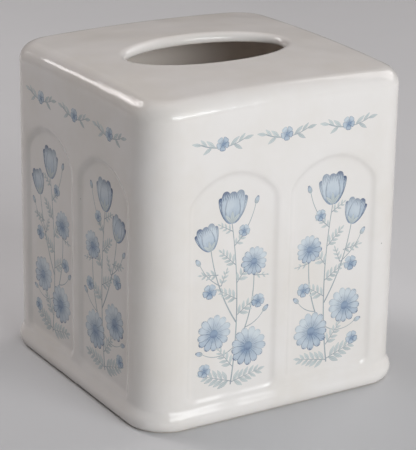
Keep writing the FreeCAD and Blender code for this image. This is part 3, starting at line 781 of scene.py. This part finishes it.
# Heights and widths of the marks, from base to tip, in lengths of the mark and shares of its width
DAISY_PETAL = ((0, 0.3), (0.28, 0.64), (0.54, 0.94), (0.76, 1.04), (0.92, 0.76), (1, 0.26))
FLORET_PETAL = ((0, 0.2), (0.35, 0.72), (0.65, 1.05), (0.88, 0.96), (1, 0.5))
BELL_PETAL = ((0, 0.5), (0.2, 0.95), (0.4, 1.1), (0.6, 1.0), (0.8, 0.75), (1, 0.35))
LEAFLET = ((0, 0.1), (0.22, 0.68), (0.45, 1.0), (0.68, 0.84), (0.88, 0.42), (1, 0.06))
RIB = ((0, 1.0), (0.5, 0.8), (1, 0.4))


def make_prints(groups):
    petal_wash = {"vein_reach": 0.3, "base_shade": 0.4, "rim": 0.75, "fringe": 0.9}
    leaf_wash = {"vein_reach": 0.6, "base_shade": 0.3, "rim": 0.5, "fringe": 0.0}
    paints = {
        "daisy": make_paint("daisy_print", groups, PETAL_PAINTS, veins=3, vein_strength=0.8, **petal_wash),
        "floret": make_paint("floret_print", groups, FLORET_PAINTS, veins=3, vein_strength=0.6, **petal_wash),
        "bell": make_paint("bell_print", groups, BELL_PAINTS, veins=5, vein_strength=0.55, **petal_wash),
        "leaf": make_paint("leaf_print", groups, LEAF_PAINTS, veins=2, vein_strength=0.5, **leaf_wash),
        "stalk": make_paint("stalk_print", groups, STALK_PAINTS, veins=1, vein_strength=0.3, **leaf_wash),
        "eye": make_paint("eye_print", groups, EYE_PAINTS, veins=5, vein_strength=0.6, **petal_wash),
    }
    stencils = {
        "daisy": make_stencil("daisy_petal", DAISY_PETAL, paints["daisy"]),
        "floret": make_stencil("floret_petal", FLORET_PETAL, paints["floret"]),
        "bell": make_stencil("bell_petal", BELL_PETAL, paints["bell"], rounded=True),
        "leaflet": make_stencil("leaflet", LEAFLET, paints["leaf"]),
        "rib": make_stencil("leaf_rib", RIB, paints["stalk"]),
    }
    spray = draw_spray(stencils, paints)
    sprig = draw_sprig(stencils, paints)
    for side, turn in SIDES.items():
        for hand_name, hand in HANDS.items():
            node = f"{side}_spray_{hand_name}"
            lay_print(f"{side}_flowers_{hand_name}", spray, node, turn, hand)
        for place in SPRIG_PLACES:
            node = f"{side}_sprig_{place}"
            lay_print(f"{side}_twig_{place}", sprig, node, turn, 1)
    for pattern in (spray, sprig, *stencils.values()):
        bpy.data.objects.remove(pattern)


# Stage

FLOOR_SIZE = 8
FLOOR_TONE = (0.64, 0.64, 0.65)
FLOOR_SHADE = (0.60, 0.60, 0.61)
FLOOR_CLOUD_SCALE = 9
FLOOR_ROUGHNESS = 0.8
WORLD_TONE = (0.55, 0.56, 0.58)
WORLD_STRENGTH = 0.04
COOL_LIGHT = (0.96, 0.985, 1)
WARM_LIGHT = (1, 0.955, 0.945)
LIGHT_TARGET = Vector((0, 0, 0.075))

# Lights that face the cover: azimuth and elevation in degrees, distance, width and height in metres,
# power in watts, colour, outline. The three at the back make one softbox that widens upward.
LIGHTS = {
    "key_softbox": (6.4, 18, 1.5, 1.2, 0.36, 9.4, COOL_LIGHT, "RECTANGLE"),
    "front_softbox": (7.6, 21, 1.5, 1.1, 0.86, 6.8, COOL_LIGHT, "RECTANGLE"),
    "low_front_softbox": (0, 6, 1.6, 0.9, 0.5, 1.2, COOL_LIGHT, "RECTANGLE"),
    "low_back_softbox": (-153.5, 27, 1.35, 0.2, 0.36, 1.15, WARM_LIGHT, "ELLIPSE"),
    "middle_back_softbox": (-152.2, 37, 1.35, 0.5, 0.27, 1.95, WARM_LIGHT, "ELLIPSE"),
    "high_back_softbox": (-151.5, 46.5, 1.35, 0.86, 0.36, 4.6, WARM_LIGHT, "ELLIPSE"),
    "right_fill": (98, 35, 1.6, 1.1, 1.1, 8.0, WARM_LIGHT, "RECTANGLE"),
    "overhead_softbox": (0, 88, 1.6, 1.2, 1.2, 3.7, WARM_LIGHT, "RECTANGLE"),
}


def make_floor():
    deselect_all()
    bpy.ops.mesh.primitive_plane_add(size=FLOOR_SIZE)
    floor = bpy.context.object
    floor.name = "floor"
    material, _, links, shader = new_material("pale_floor")
    tree = material.node_tree
    clouds = noise(tree, object_place(tree), FLOOR_CLOUD_SCALE, detail=4.0)
    tone = mix_colours(tree, clouds, FLOOR_TONE, FLOOR_SHADE)
    links.new(tone, shader.inputs["Base Color"])
    shader.inputs["Roughness"].default_value = FLOOR_ROUGHNESS
    floor.data.materials.append(material)


def make_light(name, azimuth, elevation, distance, width, height, power, colour, outline):
    data = bpy.data.lights.new(name, "AREA")
    data.shape = outline
    data.size = width
    data.size_y = height
    data.energy = power
    data.color = colour
    light = bpy.data.objects.new(name, data)
    bpy.context.scene.collection.objects.link(light)
    away = direction(azimuth, elevation)
    light.location = LIGHT_TARGET + away * distance
    light.rotation_euler = away.to_track_quat("Z", "Y").to_euler()


def make_lights():
    world = bpy.data.worlds.new("studio")
    world.use_nodes = True
    background = world.node_tree.nodes["Background"]
    background.inputs["Color"].default_value = (*WORLD_TONE, 1)
    background.inputs["Strength"].default_value = WORLD_STRENGTH
    bpy.context.scene.world = world
    for name, values in LIGHTS.items():
        make_light(name, *values)


def make_camera():
    back = direction(CAMERA_AZIMUTH, CAMERA_ELEVATION)
    right = Vector((0, 0, 1)).cross(back).normalized()
    up = back.cross(right)
    roll = math.radians(CAMERA_ROLL)
    level_right = right.copy()
    right = math.cos(roll) * level_right + math.sin(roll) * up
    up = math.cos(roll) * up - math.sin(roll) * level_right
    data = bpy.data.cameras.new("photo_camera")
    data.sensor_width = SENSOR_MM
    data.lens = FOCAL_PIXELS * SENSOR_MM / PHOTO_LONG_SIDE_PIXELS
    data.clip_start = CLIP_START
    data.clip_end = CLIP_END
    camera = bpy.data.objects.new("photo_camera", data)
    bpy.context.scene.collection.objects.link(camera)
    place = back * CAMERA_DISTANCE + right * CAMERA_AIM_RIGHT + up * CAMERA_AIM_UP
    axes = Matrix((right, up, back)).transposed().to_4x4()
    camera.matrix_world = Matrix.Translation(place) @ axes
    bpy.context.scene.camera = camera


glaze_group = make_glaze_group()
wash_group = make_wash_group()
make_glazed_shell(make_white_glaze(glaze_group))
make_prints((glaze_group, wash_group))
make_floor()
make_lights()
make_camera()
bpy.context.scene.view_settings.view_transform = "Standard"
